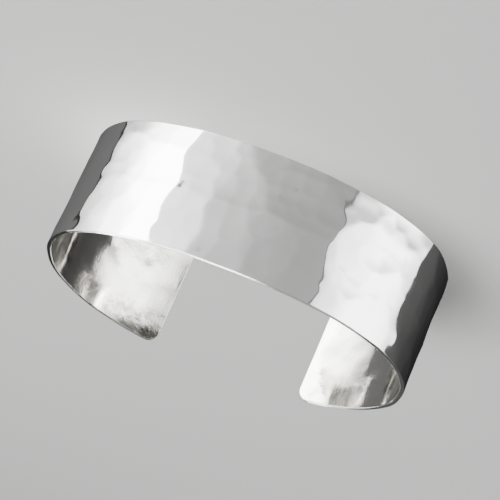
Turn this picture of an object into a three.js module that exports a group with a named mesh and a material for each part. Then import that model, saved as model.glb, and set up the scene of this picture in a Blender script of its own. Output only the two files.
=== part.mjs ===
// Cuff bracelet: one springy strip of planished silver bent into an open oval.
// The oval lies flat on one edge of the band, with its opening towards -Y.
// Millimetres, +Z up. The origin is on the surface, under the middle of the oval.
import * as THREE from 'three';

// Sizes of the oval, measured outside
const outerWidth = 62;          // across the wrist, along X
const backReach = 23.9;         // from the widest line to the back of the oval
const frontReach = 26.2;        // from the widest line to where the oval would close
const squareness = 0.015;       // 0 is an ellipse, more makes fuller shoulders
const endGap = 26.8;            // opening between the two ends

// Sizes of the strip
const bandWidth = 20.4;         // up Z
const wall = 0.8;
const cornerRadius = 2.0;       // rounded corners of both ends

// Planished surface: the overlapping marks of a domed hammer
const markPitch = 6.5;          // from one mark to the next
const hammerRadius = 75;        // of the hammer's domed face
const markDepth = 0.08;         // how much deeper the hardest blow goes than the softest
const ridgeSoftness = 0.028;    // rounds the ridges between marks
const insideShare = 0.5;        // how much of a mark shows through inside
const patternSeed = 107;        // any whole number gives another scatter of marks

// Fineness of the faceted surface
const facetLength = 1.7;
const facetHeight = 1.7;
const cornerSteps = 4;

// A point of the closed oval, counted anticlockwise from +X
function ovalPoint(angle) {
  const halfDepth = (backReach + frontReach) / 2;
  const egg = (frontReach - backReach) / 2;
  const across = (1 + squareness) * Math.cos(angle) - squareness * Math.cos(3 * angle);
  const along = (1 + squareness) * Math.sin(angle) + squareness * Math.sin(3 * angle);
  return new THREE.Vector2(
    (outerWidth / 2) * across,
    halfDepth * along - egg * Math.sin(angle) ** 2,
  );
}

// The angle past +X at which the oval is cut to leave the opening
function endAngle() {
  let low = -Math.PI / 2;
  let high = 0;
  for (let step = 0; step < 60; step += 1) {
    const middle = (low + high) / 2;
    if (ovalPoint(middle).x < endGap / 2) low = middle;
    else high = middle;
  }
  return high;
}

// The outside line of the strip as a curve that can be walked by its length
class BandLine extends THREE.Curve {
  constructor() {
    super();
    this.start = endAngle();
    this.sweep = Math.PI - 2 * this.start;
    this.arcLengthDivisions = 2000;
  }

  getPoint(share, target = new THREE.Vector2()) {
    return target.copy(ovalPoint(this.start + share * this.sweep));
  }
}

// A repeatable number from 0 to 1 for a place in the pattern of marks
function scatter(column, row, salt) {
  const value = Math.sin(column * 127.1 + row * 311.7 + salt * 74.7) * 43758.5453;
  return value - Math.floor(value);
}

// Depth of the hammer marks at a place on the strip: the deepest blow wins, softly
function markedDepth(distance, height) {
  const column = Math.round(distance / markPitch);
  const row = Math.round(height / markPitch);
  let total = 0;
  for (let i = column - 2; i <= column + 2; i += 1) {
    for (let j = row - 2; j <= row + 2; j += 1) {
      const middleAlong = (i + 0.8 * (scatter(i, j, patternSeed) - 0.5)) * markPitch;
      const middleUp = (j + 0.8 * (scatter(i, j, patternSeed + 1) - 0.5)) * markPitch;
      const away = (distance - middleAlong) ** 2 + (height - middleUp) ** 2;
      const blow = markDepth * scatter(i, j, patternSeed + 2) - away / (2 * hammerRadius);
      total += Math.exp(blow / ridgeSoftness);
    }
  }
  return ridgeSoftness * Math.log(total);
}

// Distances along the strip: close together round the corners, even between them
function stations(length) {
  const places = [];
  for (let step = 0; step < cornerSteps; step += 1) {
    places.push(cornerRadius * (1 - Math.cos((step / cornerSteps) * Math.PI / 2)));
  }
  const plain = length - 2 * cornerRadius;
  const count = Math.round(plain / facetLength);
  for (let step = 0; step <= count; step += 1) {
    places.push(cornerRadius + (step / count) * plain);
  }
  for (let step = cornerSteps - 1; step >= 0; step -= 1) {
    places.push(length - places[step]);
  }
  return places;
}

// Half of the strip's width at a distance from its nearer end
function halfSpan(fromEnd) {
  const into = Math.max(0, cornerRadius - fromEnd);
  return bandWidth / 2 - cornerRadius + Math.sqrt(cornerRadius ** 2 - into ** 2);
}

// Outer and inner surface points of the strip, a column for each station
function bandColumns() {
  const line = new BandLine();
  const length = line.getLength();
  const rows = Math.round(bandWidth / facetHeight);
  return stations(length).map((distance) => {
    const share = distance / length;
    const point = line.getPointAt(share);
    const tangent = line.getTangentAt(share);
    const inward = new THREE.Vector2(-tangent.y, tangent.x);
    const span = halfSpan(Math.min(distance, length - distance));
    const outer = [];
    const inner = [];
    for (let row = 0; row <= rows; row += 1) {
      const height = bandWidth / 2 + span * ((2 * row) / rows - 1);
      const depth = markedDepth(distance, height);
      const outside = point.clone().addScaledVector(inward, depth);
      const inside = point.clone().addScaledVector(inward, wall + insideShare * depth);
      outer.push([outside.x, outside.y, height]);
      inner.push([inside.x, inside.y, height]);
    }
    return { outer, inner };
  });
}

// One closed surface: outside, inside, lower and upper edge, and both end faces
function bandGeometry() {
  const columns = bandColumns();
  const rows = columns[0].outer.length;
  const last = columns.length - 1;
  const positions = [];
  columns.forEach((column) => positions.push(...column.outer.flat(), ...column.inner.flat()));
  const outerIndex = (column, row) => column * 2 * rows + row;
  const innerIndex = (column, row) => column * 2 * rows + rows + row;
  const faces = [];
  const quad = (a, b, c, d) => faces.push(a, b, c, a, c, d);
  for (let i = 0; i < last; i += 1) {
    for (let j = 0; j < rows - 1; j += 1) {
      quad(outerIndex(i, j), outerIndex(i + 1, j), outerIndex(i + 1, j + 1), outerIndex(i, j + 1));
      quad(innerIndex(i, j), innerIndex(i, j + 1), innerIndex(i + 1, j + 1), innerIndex(i + 1, j));
    }
    quad(outerIndex(i, 0), innerIndex(i, 0), innerIndex(i + 1, 0), outerIndex(i + 1, 0));
    const top = rows - 1;
    quad(outerIndex(i, top), outerIndex(i + 1, top), innerIndex(i + 1, top), innerIndex(i, top));
  }
  for (let j = 0; j < rows - 1; j += 1) {
    quad(outerIndex(0, j), outerIndex(0, j + 1), innerIndex(0, j + 1), innerIndex(0, j));
    quad(outerIndex(last, j), innerIndex(last, j), innerIndex(last, j + 1), outerIndex(last, j + 1));
  }
  const geometry = new THREE.BufferGeometry();
  geometry.setAttribute('position', new THREE.Float32BufferAttribute(positions, 3));
  geometry.setIndex(faces);
  geometry.computeVertexNormals();
  return geometry;
}

// The band, moved along Y so that the origin is under its middle
function cuffBand() {
  const silver = new THREE.MeshStandardMaterial({ color: 0xeeebe6, metalness: 1, roughness: 0.12 });
  const band = new THREE.Mesh(bandGeometry(), silver);
  band.name = 'cuff_band';
  const endLine = ovalPoint(endAngle()).y;
  band.position.y = -(backReach + endLine) / 2;
  return band;
}

const cuffBracelet = new THREE.Group();
cuffBracelet.name = 'cuff_bracelet';
cuffBracelet.add(cuffBand());

export default cuffBracelet;
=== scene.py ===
import math

import bpy
import numpy as np
from mathutils import Matrix, Vector


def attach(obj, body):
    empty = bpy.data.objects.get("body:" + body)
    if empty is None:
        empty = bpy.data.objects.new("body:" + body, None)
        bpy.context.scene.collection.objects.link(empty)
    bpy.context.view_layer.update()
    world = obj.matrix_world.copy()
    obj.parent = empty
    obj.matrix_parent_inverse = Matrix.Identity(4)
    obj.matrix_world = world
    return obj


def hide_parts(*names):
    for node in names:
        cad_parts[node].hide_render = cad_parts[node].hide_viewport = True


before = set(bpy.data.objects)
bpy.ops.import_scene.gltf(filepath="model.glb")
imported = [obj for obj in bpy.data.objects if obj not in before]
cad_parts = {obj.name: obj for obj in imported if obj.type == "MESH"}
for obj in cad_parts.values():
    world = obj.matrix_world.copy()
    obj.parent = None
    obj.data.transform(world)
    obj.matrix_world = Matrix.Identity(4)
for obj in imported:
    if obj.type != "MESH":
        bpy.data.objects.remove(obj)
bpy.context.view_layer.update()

MM = 0.001

# Sizes of the oval, as in the frame, in millimetres
OUTER_WIDTH = 62.0
BACK_REACH = 23.9
FRONT_REACH = 26.2
SQUARENESS = 0.015
END_GAP = 26.8

# Sizes of the strip, in millimetres
BAND_WIDTH = 20.4
WALL = 0.8
CORNER_RADIUS = 2.0
EDGE_RADIUS = 0.1
EDGE_GUARD = 0.04

# Planished surface: the marks of a domed hammer, as in the frame
MARK_PITCH = 6.5
HAMMER_RADIUS = 75.0
MARK_DEPTH = 0.08
RIDGE_SOFTNESS = 0.028
INSIDE_SHARE = 0.5
MARK_SEED = 107

# Finer marks outside and inside: pitch, hammer radius, depth and softness of the ridges
FINE_OUTSIDE = (3.1, 65.0, 0.014, 0.005)
FINE_INSIDE = (2.4, 80.0, 0.010, 0.005)
OUTSIDE_SEED = 21
INSIDE_SEED = 173

# Single taps outside: distance along the strip, height, radius and depth (raised if under 0)
OUTSIDE_TAPS = (
    (44.8, 17.4, 1.2, -0.045),
    (45.2, 6.7, 1.0, 0.021),
    (46.5, 17.0, 1.3, 0.034),
    (47.2, 16.2, 1.5, 0.045),
    (48.6, 3.7, 2.5, -0.011),
    (61.6, 1.4, 1.0, -0.018),
    (61.9, 14.7, 1.0, -0.016),
    (63.1, 7.2, 2.1, -0.007),
    (63.2, 10.8, 1.3, 0.008),
    (101.5, 10.2, 1.3, 0.037),
    (101.7, 5.1, 1.4, -0.033),
    (102.6, 9.9, 2.4, -0.037),
    (103.0, 7.1, 1.8, 0.007),
    (103.1, 9.0, 1.1, -0.045),
    (104.1, 18.6, 1.2, 0.045),
)

# Single taps near both ends, which bend the whole wall there: the same columns
END_TAPS = (
    (-2.0, 11.2, 6.8, -0.044),
    (-0.2, 12.4, 5.2, -0.054),
    (0.0, 1.3, 2.8, -0.117),
    (0.3, 5.1, 3.3, -0.051),
    (0.5, 9.0, 5.0, -0.022),
    (0.5, 8.8, 4.4, -0.041),
    (1.3, 8.4, 1.2, -0.039),
    (1.3, 15.7, 3.9, -0.072),
    (1.4, 5.1, 6.2, -0.056),
    (2.3, 20.6, 1.8, 0.112),
    (3.0, 17.6, 3.4, -0.040),
    (3.5, 12.3, 2.5, 0.090),
    (4.8, -0.2, 2.5, 0.099),
    (5.5, 18.0, 2.2, -0.120),
    (5.6, 19.6, 2.1, -0.088),
    (7.2, 6.7, 2.8, -0.096),
    (9.2, 1.7, 1.6, 0.076),
    (10.4, 9.8, 4.1, -0.043),
    (10.5, 7.3, 4.2, -0.083),
    (11.0, 11.4, 2.7, -0.072),
    (11.2, 16.2, 1.4, 0.068),
    (14.6, 6.7, 3.0, 0.080),
    (14.6, 19.7, 5.5, 0.052),
    (15.3, 2.4, 1.2, -0.117),
    (20.5, 16.2, 1.5, -0.081),
    (20.5, 16.0, 4.1, -0.017),
    (26.4, 0.3, 5.4, -0.120),
    (120.6, 1.4, 3.1, 0.104),
    (124.2, 9.6, 3.8, -0.120),
    (125.4, 13.3, 2.9, -0.069),
    (125.6, 1.9, 3.2, -0.120),
    (126.0, 15.7, 1.6, -0.090),
    (127.4, 9.4, 4.0, -0.070),
    (127.8, 8.6, 3.6, -0.078),
    (128.7, 18.6, 3.0, 0.018),
    (133.4, 19.2, 3.3, 0.011),
    (134.0, 16.3, 2.9, 0.063),
    (134.4, 17.4, 4.7, 0.036),
    (136.5, 6.4, 3.5, -0.120),
    (136.7, 9.0, 1.2, -0.091),
    (138.9, 19.0, 2.7, -0.078),
    (139.6, 12.3, 7.0, 0.020),
    (143.5, 9.4, 3.3, 0.104),
    (144.6, 7.2, 1.2, -0.044),
    (145.1, 20.5, 4.0, 0.050),
    (148.7, 1.2, 2.4, 0.111),
)

# Small dark pits outside: distance along the strip, height, radius and darkness
PITS = (
    (87.2, 10.1, 0.42, 0.97),
    (87.0, 9.4, 0.30, 0.85),
    (70.2, 4.3, 0.32, 0.16),
    (80.1, 19.2, 0.34, 0.18),
    (72.0, 6.3, 0.28, 0.08),
    (70.5, 11.5, 0.28, 0.08),
)
PIT_DEPTH = 0.01

# Painted shade inside, brown patches that stand for dark reflections: distance along the strip,
# height, radius and darkness
INSIDE_PAINTED_SHADE = (
    (143.7, 17.3, 2.2, 0.60),
    (141.3, 18.6, 1.6, 0.55),
    (148.2, 16.9, 1.6, 0.60),
    (150.2, 18.6, 1.8, 0.70),
    (136.5, 17.6, 1.8, 0.45),
    (134.8, 17.2, 1.4, 0.50),
    (126.0, 17.6, 2.0, 0.80),
    (125.7, 14.0, 2.0, 0.70),
    (20.8, 16.9, 1.7, 0.75),
    (20.2, 13.9, 1.5, 0.60),
    (13.5, 16.3, 1.5, 0.65),
    (7.2, 16.8, 2.2, 0.50),
    (3.0, 18.9, 1.4, 0.40),
)

# Colours
SILVER = (0.935, 0.935, 0.925, 1)
FILM = (0.85, 0.85, 0.83, 1)
INSIDE_SILVER = (0.90, 0.89, 0.86, 1)
INSIDE_FILM = (0.70, 0.67, 0.60, 1)
PIT_DIRT = (0.05, 0.05, 0.045, 1)
PAINTED_SHADE_BROWN = (0.25, 0.23, 0.175, 1)
FLOOR_GREY = (0.72, 0.72, 0.71, 1)
WHITE = (1, 1, 1, 1)

# Noise in the silver: waves per millimetre along the strip and up it, and detail
CLOUDS = (0.3, 0.3, 4.0)
GRAIN = (3.0, 2.2, 4.0)
BLOTCHES = (0.9, 0.9, 5.0)
RIPPLE = (0.9, 0.9, 3.0)
STROKES = (0.25, 5.0, 2.0)
INSIDE_RIPPLE = (1.9, 1.3, 6.0)

# What a noise does to the colour: from one value to another, and its share at both
FILM_SHARE = (0.45, 0.75, 0.0, 0.35)
SPECKLE_SHARE = (0.35, 0.70, 0.0, 0.45)
BLOTCH_SHARE = (0.40, 0.58, 0.2, 1.0)

# Polish: roughness from its brightest to its dullest places, and fine relief in millimetres
CLOUD_RANGE = (0.3, 0.7)
OUTSIDE_ROUGHNESS = (0.03, 0.07)
INSIDE_ROUGHNESS = (0.07, 0.15)
OUTSIDE_RELIEF = 0.004
STROKE_SHARE = 0.15
INSIDE_RELIEF = 0.013

# Fineness of the mesh
CELL = 0.31
CORNER_STEPS = 8
EDGE_STEPS = 4
LINE_SAMPLES = 4000

# Camera: where it stands round the cuff, in degrees and millimetres
CAMERA_AZIMUTH = 170.94
CAMERA_ELEVATION = 21.10
CAMERA_ROLL = -156.11
CAMERA_TARGET = (0.53, 8.18, 10.2)
CAMERA_DISTANCE = 301.8
CAMERA_NEAREST = 10.0
FOCAL_LENGTH = 136.8
SENSOR_WIDTH = 36.0

# Floor, soft light and world, in metres and watts
FLOOR_HALF = 3.0
FLOOR_ROUGHNESS = 0.7
LIGHT_PLACE = (-0.25, 0.1, 0.7)
LIGHT_AIM = (0, 0, 0.01)
LIGHT_SIZE = 0.6
LIGHT_POWER = 6.0
WORLD_LIGHT = 0.35

# The light tent that the silver mirrors, and the heights at which its cards end
TENT_RADIUS = 300.0
TENT_BOTTOM = -700.0
CARD_FOOT = -136.0
CARD_SHOULDER = -104.0
CARD_TOP = 20.0
GAP_TOP = 203.0
TENT_TOP = 3000.0
SEAM = 0.4
TENT_STEPS = 1440

# Round the tent, in degrees anticlockwise from +X: how bright it is, and how much of that
# is left at the cards' feet
CARDS = (
    (0, 4.0, 0.35), (6, 5.0, 0.20), (15, 6.2, 0.15), (34, 6.2, 0.18), (46, 4.6, 0.25),
    (54, 3.0, 0.45), (60.4, 1.9, 0.60), (60.9, 0.2, 1.0), (61.7, 0.2, 1.0), (62.3, 0.55, 0.85),
    (72, 0.52, 0.88), (85, 0.62, 0.82), (94, 0.80, 0.78), (102, 1.00, 0.78), (110, 1.45, 0.78),
    (116, 2.20, 0.85), (128, 3.10, 0.90), (130, 13.0, 0.85), (142, 14.0, 0.75),
    (150, 9.5, 0.75), (160, 6.5, 0.65), (168, 4.0, 0.50), (178, 2.3, 0.45), (189.5, 1.4, 0.45),
    (190, 0.035, 1.0), (192.2, 0.035, 1.0), (192.7, 0.19, 1.0), (215, 0.17, 1.0),
    (245, 0.13, 1.0), (260, 0.09, 1.0), (275, 0.02, 1.0), (295, 0.025, 1.0),
    (315, 0.05, 1.0), (330, 0.085, 1.0), (349, 0.125, 1.0), (349.6, 2.6, 0.5), (360, 4.0, 0.35),
)

# Over the cards, by the same degrees: how bright the gap over them is, and the tent's high part
UPPER_CARDS = (
    (0, 0.25, 0.2), (22, 1.0, 0.2), (44, 1.2, 0.35), (62, 0.5, 0.5), (90, 0.6, 0.7),
    (113, 1.3, 1.3), (126, 3.0, 3.0), (141, 10.0, 8.0), (160, 6.0, 8.0), (172, 2.5, 6.0),
    (191, 0.8, 4.0), (200, 0.15, 4.0), (215, 0.12, 4.0), (230, 0.06, 5.0), (253, 0.04, 5.0),
    (255, 0.04, 0.6), (262, 0.05, 0.3), (272, 0.1, 0.1), (300, 0.07, 0.2), (330, 0.1, 0.2),
    (360, 0.25, 0.2),
)

# Bars of light behind the cuff, which its rims mirror: from, to, bottom, top, brightness
BARS = (
    (250.6, 251.6, 126, 147, 2.2), (251.6, 254.0, 129, 147, 12.0), (254.0, 257.5, 133, 147, 4.5),
    (257.5, 261.6, 134, 147, 8.0), (261.6, 262.7, 134, 147, 2.0), (262.7, 269.5, 134, 147, 0.75),
    (266.8, 269.0, 100, 118, 5.0), (269.0, 270.3, 100, 118, 1.5), (270.3, 271.4, 100, 118, 0.35),
    (253.6, 256.5, 100, 118, 0.2),
)


def oval_points(angle):
    """Points of the closed oval, outside, counted anticlockwise from +X."""
    half_depth = (BACK_REACH + FRONT_REACH) / 2
    egg = (FRONT_REACH - BACK_REACH) / 2
    across = (1 + SQUARENESS) * np.cos(angle) - SQUARENESS * np.cos(3 * angle)
    along = (1 + SQUARENESS) * np.sin(angle) + SQUARENESS * np.sin(3 * angle)
    return OUTER_WIDTH / 2 * across, half_depth * along - egg * np.sin(angle) ** 2


def end_angle():
    """The angle at which the oval is cut to leave the opening."""
    low = -math.pi / 2
    high = 0.0
    for _ in range(60):
        middle = (low + high) / 2
        if oval_points(middle)[0] < END_GAP / 2:
            low = middle
        else:
            high = middle
    return high


class BandLine:
    """The strip's outside line, walked by its length, centred as in the frame."""

    def __init__(self):
        start = end_angle()
        angles = np.linspace(start, math.pi - start, LINE_SAMPLES)
        self.x, self.y = oval_points(angles)
        self.y = self.y - (BACK_REACH + self.y[0]) / 2
        steps = np.hypot(np.diff(self.x), np.diff(self.y))
        self.walked = np.concatenate([[0.0], np.cumsum(steps)])
        self.length = float(self.walked[-1])
        slope_x = np.gradient(self.x, self.walked)
        slope_y = np.gradient(self.y, self.walked)
        size = np.hypot(slope_x, slope_y)
        self.inward_x = -slope_y / size
        self.inward_y = slope_x / size

    def place(self, distance, height, depth):
        """Points at a distance along the strip, a height, and a depth under its outside."""
        x = np.interp(distance, self.walked, self.x)
        y = np.interp(distance, self.walked, self.y)
        inward_x = np.interp(distance, self.walked, self.inward_x)
        inward_y = np.interp(distance, self.walked, self.inward_y)
        return np.stack([x + inward_x * depth, y + inward_y * depth, height], axis=-1)


def scatter(column, row, salt):
    """A repeatable number from 0 to 1 for a place in the pattern of marks."""
    value = np.sin(column * 127.1 + row * 311.7 + salt * 74.7) * 43758.5453
    return value - np.floor(value)


def hammered(distance, height, pitch, face_radius, unevenness, softness, salt):
    """Depth left by overlapping blows of a domed hammer: the deepest blow wins, softly."""
    column = np.round(distance / pitch)
    row = np.round(height / pitch)
    total = np.zeros_like(distance)
    for step_along in range(-2, 3):
        for step_up in range(-2, 3):
            i = column + step_along
            j = row + step_up
            middle_along = (i + 0.8 * (scatter(i, j, salt) - 0.5)) * pitch
            middle_up = (j + 0.8 * (scatter(i, j, salt + 1) - 0.5)) * pitch
            away = (distance - middle_along) ** 2 + (height - middle_up) ** 2
            blow = unevenness * scatter(i, j, salt + 2) - away / (2 * face_radius)
            total += np.exp(blow / softness)
    return softness * np.log(total)


def tap_depth(taps, distance, height):
    """Depth of single taps."""
    depth = np.zeros_like(distance)
    for middle, up, radius, deep in taps:
        away = np.hypot(distance - middle, height - up) / radius
        depth += deep * np.exp(-away ** 2)
    return depth


def spot_darkness(spots, distance, height):
    """How dark the spots of a table are at a place: 0 is clean silver."""
    pits_and_painted_shade = np.zeros_like(distance)
    for middle, up, radius, dark in spots:
        away = np.hypot(distance - middle, height - up) / radius
        pits_and_painted_shade = np.maximum(pits_and_painted_shade, dark * np.exp(-away ** 4))
    return pits_and_painted_shade


def mark_depth(distance, height, inside):
    """Depth of all marks: inside is 0 on the outer face and 1 on the inner face."""
    marks = hammered(
        distance, height, MARK_PITCH, HAMMER_RADIUS, MARK_DEPTH, RIDGE_SOFTNESS, MARK_SEED
    )
    pits = [(*pit[:3], PIT_DEPTH) for pit in PITS]
    depth = marks * (1 - (1 - INSIDE_SHARE) * inside)
    depth += hammered(distance, height, *FINE_OUTSIDE, OUTSIDE_SEED) * (1 - inside)
    depth += tap_depth([*OUTSIDE_TAPS, *pits], distance, height) * (1 - inside)
    depth += hammered(distance, height, *FINE_INSIDE, INSIDE_SEED) * inside
    depth += tap_depth(END_TAPS, distance, height)
    return depth


def pit_and_shade_darkness(distance, height, inside):
    """How dark pits make the outer face, and how dark the painted shade makes the inner face."""
    outer = spot_darkness(PITS, distance, height)
    # The inner face's spots are painted shade that stands for dark reflections
    inner = spot_darkness(INSIDE_PAINTED_SHADE, distance, height)
    return outer * (1 - inside) + inner * inside


def strip_columns(length):
    """For each column of the flat face: distance, corner angle and which end it is at."""
    turns = np.linspace(0, math.pi / 2, CORNER_STEPS, endpoint=False)
    corner = EDGE_RADIUS + (CORNER_RADIUS - EDGE_RADIUS) * (1 - np.cos(turns))
    count = round((length - 2 * CORNER_RADIUS) / CELL)
    plain = np.linspace(CORNER_RADIUS, length - CORNER_RADIUS, count + 1)
    distance = np.concatenate([corner, plain, (length - corner)[::-1]])
    angle = np.concatenate([turns, np.full(count + 1, math.pi / 2), turns[::-1]])
    end = np.concatenate([-np.ones(CORNER_STEPS), np.zeros(count + 1), np.ones(CORNER_STEPS)])
    return distance, angle, end


def face_grid(distance, angle):
    """Distance and height of each point of a flat face, by column and row."""
    span = BAND_WIDTH / 2 - CORNER_RADIUS + (CORNER_RADIUS - EDGE_RADIUS) * np.sin(angle)
    rows = 2 * round(BAND_WIDTH / CELL / 2) + 1
    guard = 1 - EDGE_GUARD / (BAND_WIDTH / 2)
    share = np.concatenate([[-1], np.linspace(-guard, guard, rows - 2), [1]])
    along = np.repeat(distance[:, None], rows, axis=1)
    return along, BAND_WIDTH / 2 + span[:, None] * share[None, :]


def rim_loop(columns, rows):
    """Columns and rows of the points round the border of the flat face, in order."""
    low = [(i, 0) for i in range(columns)]
    far = [(columns - 1, j) for j in range(1, rows)]
    high = [(i, rows - 1) for i in range(columns - 2, -1, -1)]
    near = [(0, j) for j in range(rows - 2, 0, -1)]
    loop = np.array(low + far + high + near)
    return loop[:, 0], loop[:, 1]


def edge_profile():
    """Steps over the soft edge, from outside to inside: share of its radius, and depth."""
    turns = np.linspace(0, math.pi / 2, EDGE_STEPS + 1)[1:]
    profile = [(math.sin(turn), EDGE_RADIUS * (1 - math.cos(turn))) for turn in turns]
    profile.append((1.0, EDGE_RADIUS + EDGE_GUARD))
    return profile + [(reach, WALL - depth) for reach, depth in reversed(profile)]


def edge_rings(along, up, rim, angle, end):
    """Rings of points over the soft edge: distance, height and depth of each ring."""
    column, row = rim
    side = np.where(row == 0, -1.0, np.where(row == up.shape[1] - 1, 1.0, 0.0))
    out_along = np.where(side == 0, end[column], end[column] * np.cos(angle[column]))
    out_up = side * np.sin(angle[column])
    rings = []
    for reach, depth in edge_profile():
        ring_along = along[rim] + EDGE_RADIUS * reach * out_along
        ring_up = up[rim] + EDGE_RADIUS * reach * out_up
        rings.append((ring_along, ring_up, depth))
    return rings


def band_faces(grid, rim, rings):
    """Quads of the outer face, of the inner face, and of the rings between them."""
    border = grid[rim]
    inner_start = grid.size + rings * len(border)
    a, b = grid[:-1, :-1].ravel(), grid[1:, :-1].ravel()
    c, d = grid[1:, 1:].ravel(), grid[:-1, 1:].ravel()
    faces = [np.stack([a, b, c, d], axis=1), np.stack([a, d, c, b], axis=1) + inner_start]
    loops = [border]
    loops += [grid.size + k * len(border) + np.arange(len(border)) for k in range(rings)]
    loops.append(border + inner_start)
    for first, second in zip(loops[:-1], loops[1:]):
        faces.append(np.stack([first, second, np.roll(second, -1), np.roll(first, -1)], axis=1))
    return np.concatenate(faces)


def band_mesh():
    """The strip as one closed mesh: both faces, and soft edges all round."""
    line = BandLine()
    distance, angle, end = strip_columns(line.length)
    along, up = face_grid(distance, angle)
    rim = rim_loop(*along.shape)
    rings = edge_rings(along, up, rim, angle, end)
    outer = (along.ravel(), up.ravel(), 0.0)
    inner = (along.ravel(), up.ravel(), WALL)

    points = []
    strip = []
    pits_and_painted_shade = []
    for place, height, depth in [outer, *rings, inner]:
        inside = depth / WALL
        points.append(line.place(place, height, depth + mark_depth(place, height, inside)))
        strip.append(np.stack([place, height, np.full_like(place, inside)], axis=1))
        pits_and_painted_shade.append(pit_and_shade_darkness(place, height, inside))
    points = np.concatenate(points) * MM
    strip = np.concatenate(strip)
    faces = band_faces(np.arange(along.size).reshape(along.shape), rim, len(rings))

    mesh = bpy.data.meshes.new("planished_band")
    mesh.from_pydata(points.tolist(), [], faces.tolist())
    mesh.validate()
    mesh.attributes.new("strip", "FLOAT_VECTOR", "POINT")
    mesh.attributes["strip"].data.foreach_set("vector", strip.ravel())
    mesh.attributes.new("inside", "FLOAT", "POINT")
    mesh.attributes["inside"].data.foreach_set("value", strip[:, 2])
    mesh.attributes.new("pits_and_painted_shade", "FLOAT", "POINT")
    mesh.attributes["pits_and_painted_shade"].data.foreach_set("value", np.concatenate(pits_and_painted_shade))
    mesh.polygons.foreach_set("use_smooth", [True] * len(mesh.polygons))
    mesh.update()
    return mesh


def add_node(tree, kind, **values):
    """A shader node with some of its inputs or settings given."""
    node = tree.nodes.new(kind)
    for name, value in values.items():
        if name in node.inputs:
            node.inputs[name].default_value = value
        else:
            setattr(node, name, value)
    return node


def feed(tree, socket, value):
    """A link, or a fixed number or colour."""
    if isinstance(value, bpy.types.NodeSocket):
        tree.links.new(value, socket)
    else:
        socket.default_value = value


def attribute(tree, name, output):
    """A value that is kept in the mesh."""
    return add_node(tree, "ShaderNodeAttribute", attribute_name=name).outputs[output]


def noise(tree, place, along, up, detail):
    """Fractal noise over the strip, with its own fineness along and up the strip."""
    stretched = add_node(tree, "ShaderNodeVectorMath", operation="MULTIPLY")
    stretched.inputs[1].default_value = (along, up, 1)
    tree.links.new(place, stretched.inputs[0])
    texture = add_node(tree, "ShaderNodeTexNoise", Scale=1.0, Detail=detail)
    tree.links.new(stretched.outputs["Vector"], texture.inputs["Vector"])
    return texture.outputs["Fac"]


def value_range(tree, value, low, high, to_low, to_high):
    """A value from low to high, turned into one from to_low to to_high."""
    node = add_node(tree, "ShaderNodeMapRange")
    node.inputs["From Min"].default_value = low
    node.inputs["From Max"].default_value = high
    node.inputs["To Min"].default_value = to_low
    node.inputs["To Max"].default_value = to_high
    tree.links.new(value, node.inputs["Value"])
    return node.outputs["Result"]


def mix_colour(tree, share, first, second):
    """The first colour, and a share of the second."""
    node = add_node(tree, "ShaderNodeMix", data_type="RGBA")
    feed(tree, node.inputs[0], share)
    feed(tree, node.inputs[6], first)
    feed(tree, node.inputs[7], second)
    return node.outputs[2]


def mix_value(tree, share, first, second):
    """The first number, and a share of the second."""
    node = add_node(tree, "ShaderNodeMix", data_type="FLOAT")
    feed(tree, node.inputs[0], share)
    feed(tree, node.inputs[2], first)
    feed(tree, node.inputs[3], second)
    return node.outputs[0]


def bump(tree, height, relief):
    """A surface normal from a height between 0 and 1, for a relief in millimetres."""
    node = add_node(tree, "ShaderNodeBump", Strength=1.0, Distance=relief * MM)
    tree.links.new(height, node.inputs["Height"])
    return node.outputs["Normal"]


def silver_colour(tree, strip, inside, clouds):
    """Clean silver with a thin film outside, worn and speckled inside, dark in its pits and in
    patches of painted shade inside.
    """
    film = value_range(tree, clouds, *FILM_SHARE)
    speckle = value_range(tree, noise(tree, strip, *GRAIN), *SPECKLE_SHARE)
    bright = mix_colour(tree, film, SILVER, FILM)
    worn = mix_colour(tree, film, INSIDE_SILVER, INSIDE_FILM)
    worn = mix_colour(tree, speckle, worn, INSIDE_FILM)
    clean = mix_colour(tree, inside, bright, worn)
    # Outside this is the dark dirt in real pits; inside it is painted shade, brown patches that
    # stand for dark reflections
    pit_dirt_and_shade = mix_colour(tree, inside, PIT_DIRT, PAINTED_SHADE_BROWN)
    blotches = value_range(tree, noise(tree, strip, *BLOTCHES), *BLOTCH_SHARE)
    pit_and_shade_share = add_node(tree, "ShaderNodeMath", operation="MULTIPLY")
    tree.links.new(attribute(tree, "pits_and_painted_shade", "Fac"), pit_and_shade_share.inputs[0])
    tree.links.new(mix_value(tree, inside, 1.0, blotches), pit_and_shade_share.inputs[1])
    return mix_colour(tree, pit_and_shade_share.outputs["Value"], clean, pit_dirt_and_shade)


def silver_normal(tree, strip, inside):
    """Ripples and polishing strokes outside, and a rougher ripple inside."""
    ripple = noise(tree, strip, *RIPPLE)
    strokes = noise(tree, strip, *STROKES)
    outer = bump(tree, mix_value(tree, STROKE_SHARE, ripple, strokes), OUTSIDE_RELIEF)
    inner = bump(tree, noise(tree, strip, *INSIDE_RIPPLE), INSIDE_RELIEF)
    normal = add_node(tree, "ShaderNodeMix", data_type="VECTOR")
    tree.links.new(inside, normal.inputs["Factor"])
    tree.links.new(outer, normal.inputs[4])
    tree.links.new(inner, normal.inputs[5])
    return normal.outputs[1]


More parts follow.
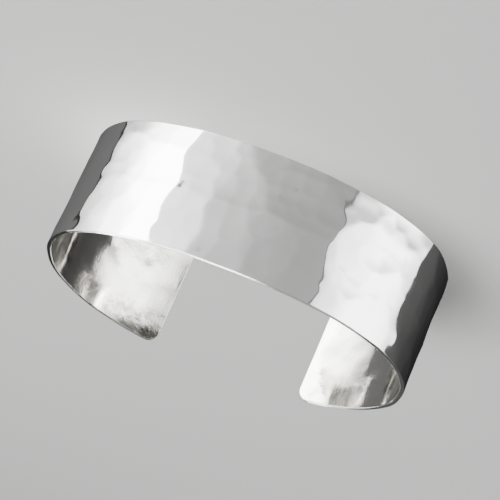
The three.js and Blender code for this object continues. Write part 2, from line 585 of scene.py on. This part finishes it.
def silver_material():
    """Polished silver: a mirror outside, duller and less even inside, dark in its pits and in
    brown patches of painted shade inside.
    """
    material = bpy.data.materials.new("polished_silver")
    material.use_nodes = True
    tree = material.node_tree
    shader = tree.nodes["Principled BSDF"]
    shader.inputs["Metallic"].default_value = 1.0
    strip = attribute(tree, "strip", "Vector")
    inside = attribute(tree, "inside", "Fac")
    clouds = noise(tree, strip, *CLOUDS)
    polish = value_range(tree, clouds, *CLOUD_RANGE, *OUTSIDE_ROUGHNESS)
    dull = value_range(tree, clouds, *CLOUD_RANGE, *INSIDE_ROUGHNESS)
    colour = silver_colour(tree, strip, inside, clouds)
    tree.links.new(colour, shader.inputs["Base Color"])
    tree.links.new(mix_value(tree, inside, polish, dull), shader.inputs["Roughness"])
    tree.links.new(silver_normal(tree, strip, inside), shader.inputs["Normal"])
    return material


def make_band():
    """The cuff itself, in place of its plain solid."""
    band = bpy.data.objects.new("planished_band", band_mesh())
    bpy.context.scene.collection.objects.link(band)
    band.data.materials.append(silver_material())
    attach(band, "root")
    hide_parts("cuff_band")


def read_cards(cards, column, azimuth):
    """One column of a table of cards, read between its rows."""
    return np.interp(azimuth, [row[0] for row in cards], [row[column] for row in cards])


def tent_level(azimuth, height):
    """Brightness of the light tent in a direction, at a height over the table."""
    raised = np.clip((height - CARD_FOOT) / (CARD_SHOULDER - CARD_FOOT), 0, 1)
    foot = read_cards(CARDS, 2, azimuth)
    level = read_cards(CARDS, 1, azimuth) * (foot * (1 - raised) + raised)
    level = np.where(height > CARD_TOP, read_cards(UPPER_CARDS, 1, azimuth), level)
    level = np.where(height > GAP_TOP, read_cards(UPPER_CARDS, 2, azimuth), level)
    for start, end, bottom, top, bar in BARS:
        lit = (azimuth > start) & (azimuth <= end) & (height > bottom) & (height < top)
        level = np.where(lit, bar, level)
    return level


def tent_material():
    """Light as bright as the tent's mesh says."""
    material = bpy.data.materials.new("tent_light")
    material.use_nodes = True
    tree = material.node_tree
    tree.nodes.clear()
    glow = add_node(tree, "ShaderNodeEmission")
    output = add_node(tree, "ShaderNodeOutputMaterial")
    tree.links.new(attribute(tree, "level", "Fac"), glow.inputs["Strength"])
    tree.links.new(glow.outputs["Emission"], output.inputs["Surface"])
    return material


def tent_heights():
    """Heights of the tent's rings of points, close together at each seam."""
    heights = [TENT_BOTTOM, CARD_FOOT, CARD_SHOULDER, TENT_TOP]
    for seam in {CARD_TOP, GAP_TOP}.union(*(bar[2:4] for bar in BARS)):
        heights += [seam - SEAM, seam + SEAM]
    return sorted(heights)


def make_tent():
    """A round light tent of cards and bars, which only the silver sees."""
    azimuths = np.linspace(0, 360, TENT_STEPS + 1)
    around, up = np.meshgrid(azimuths, tent_heights(), indexing="ij")
    turn = np.radians(around)
    points = np.stack([TENT_RADIUS * np.cos(turn), TENT_RADIUS * np.sin(turn), up], axis=-1)
    index = np.arange(around.size).reshape(around.shape)
    faces = np.stack([index[:-1, :-1], index[:-1, 1:], index[1:, 1:], index[1:, :-1]], axis=-1)
    mesh = bpy.data.meshes.new("light_tent")
    mesh.from_pydata((points.reshape(-1, 3) * MM).tolist(), [], faces.reshape(-1, 4).tolist())
    mesh.attributes.new("level", "FLOAT", "POINT")
    mesh.attributes["level"].data.foreach_set("value", tent_level(around, up).ravel())
    mesh.materials.append(tent_material())
    tent = bpy.data.objects.new("light_tent", mesh)
    bpy.context.scene.collection.objects.link(tent)
    tent.visible_camera = False
    tent.visible_diffuse = False
    tent.visible_shadow = False


def make_floor():
    """A plain pale floor, which the silver doesn't mirror."""
    half = FLOOR_HALF
    corners = [(-half, -half, 0), (half, -half, 0), (half, half, 0), (-half, half, 0)]
    mesh = bpy.data.meshes.new("floor")
    mesh.from_pydata(corners, [], [(0, 1, 2, 3)])
    material = bpy.data.materials.new("pale_floor")
    material.use_nodes = True
    shader = material.node_tree.nodes["Principled BSDF"]
    shader.inputs["Base Color"].default_value = FLOOR_GREY
    shader.inputs["Roughness"].default_value = FLOOR_ROUGHNESS
    mesh.materials.append(material)
    floor = bpy.data.objects.new("floor", mesh)
    bpy.context.scene.collection.objects.link(floor)
    floor.visible_glossy = False


def make_soft_light():
    """A square soft light over the table, aimed at the cuff."""
    data = bpy.data.lights.new("soft_light_over", "AREA")
    data.size = LIGHT_SIZE
    data.energy = LIGHT_POWER
    light = bpy.data.objects.new("soft_light_over", data)
    light.location = LIGHT_PLACE
    aim = Vector(LIGHT_AIM) - light.location
    light.rotation_euler = aim.to_track_quat("-Z", "Y").to_euler()
    light.visible_glossy = False
    light.visible_camera = False
    bpy.context.scene.collection.objects.link(light)


def make_world():
    """Even, soft light from all round."""
    world = bpy.data.worlds.new("studio")
    world.use_nodes = True
    background = world.node_tree.nodes["Background"]
    background.inputs["Color"].default_value = WHITE
    background.inputs["Strength"].default_value = WORLD_LIGHT
    bpy.context.scene.world = world


def make_camera():
    """A long lens, turned about its own axis, that looks down on the cuff's back."""
    azimuth = math.radians(CAMERA_AZIMUTH)
    elevation = math.radians(CAMERA_ELEVATION)
    back = Vector((
        math.sin(azimuth) * math.cos(elevation),
        -math.cos(azimuth) * math.cos(elevation),
        math.sin(elevation),
    ))
    level = Vector((math.cos(azimuth), math.sin(azimuth), 0))
    right = Matrix.Rotation(math.radians(CAMERA_ROLL), 3, back) @ level
    up = back.cross(right)
    data = bpy.data.cameras.new("camera")
    data.lens = FOCAL_LENGTH
    data.sensor_width = SENSOR_WIDTH
    data.clip_start = CAMERA_NEAREST * MM
    camera = bpy.data.objects.new("camera", data)
    turn = Matrix((right, up, back)).transposed()
    place = Vector(CAMERA_TARGET) * MM + back * CAMERA_DISTANCE * MM
    camera.matrix_world = Matrix.Translation(place) @ turn.to_4x4()
    bpy.context.scene.collection.objects.link(camera)
    bpy.context.scene.camera = camera


make_camera()
make_band()
make_floor()
make_tent()
make_soft_light()
make_world()
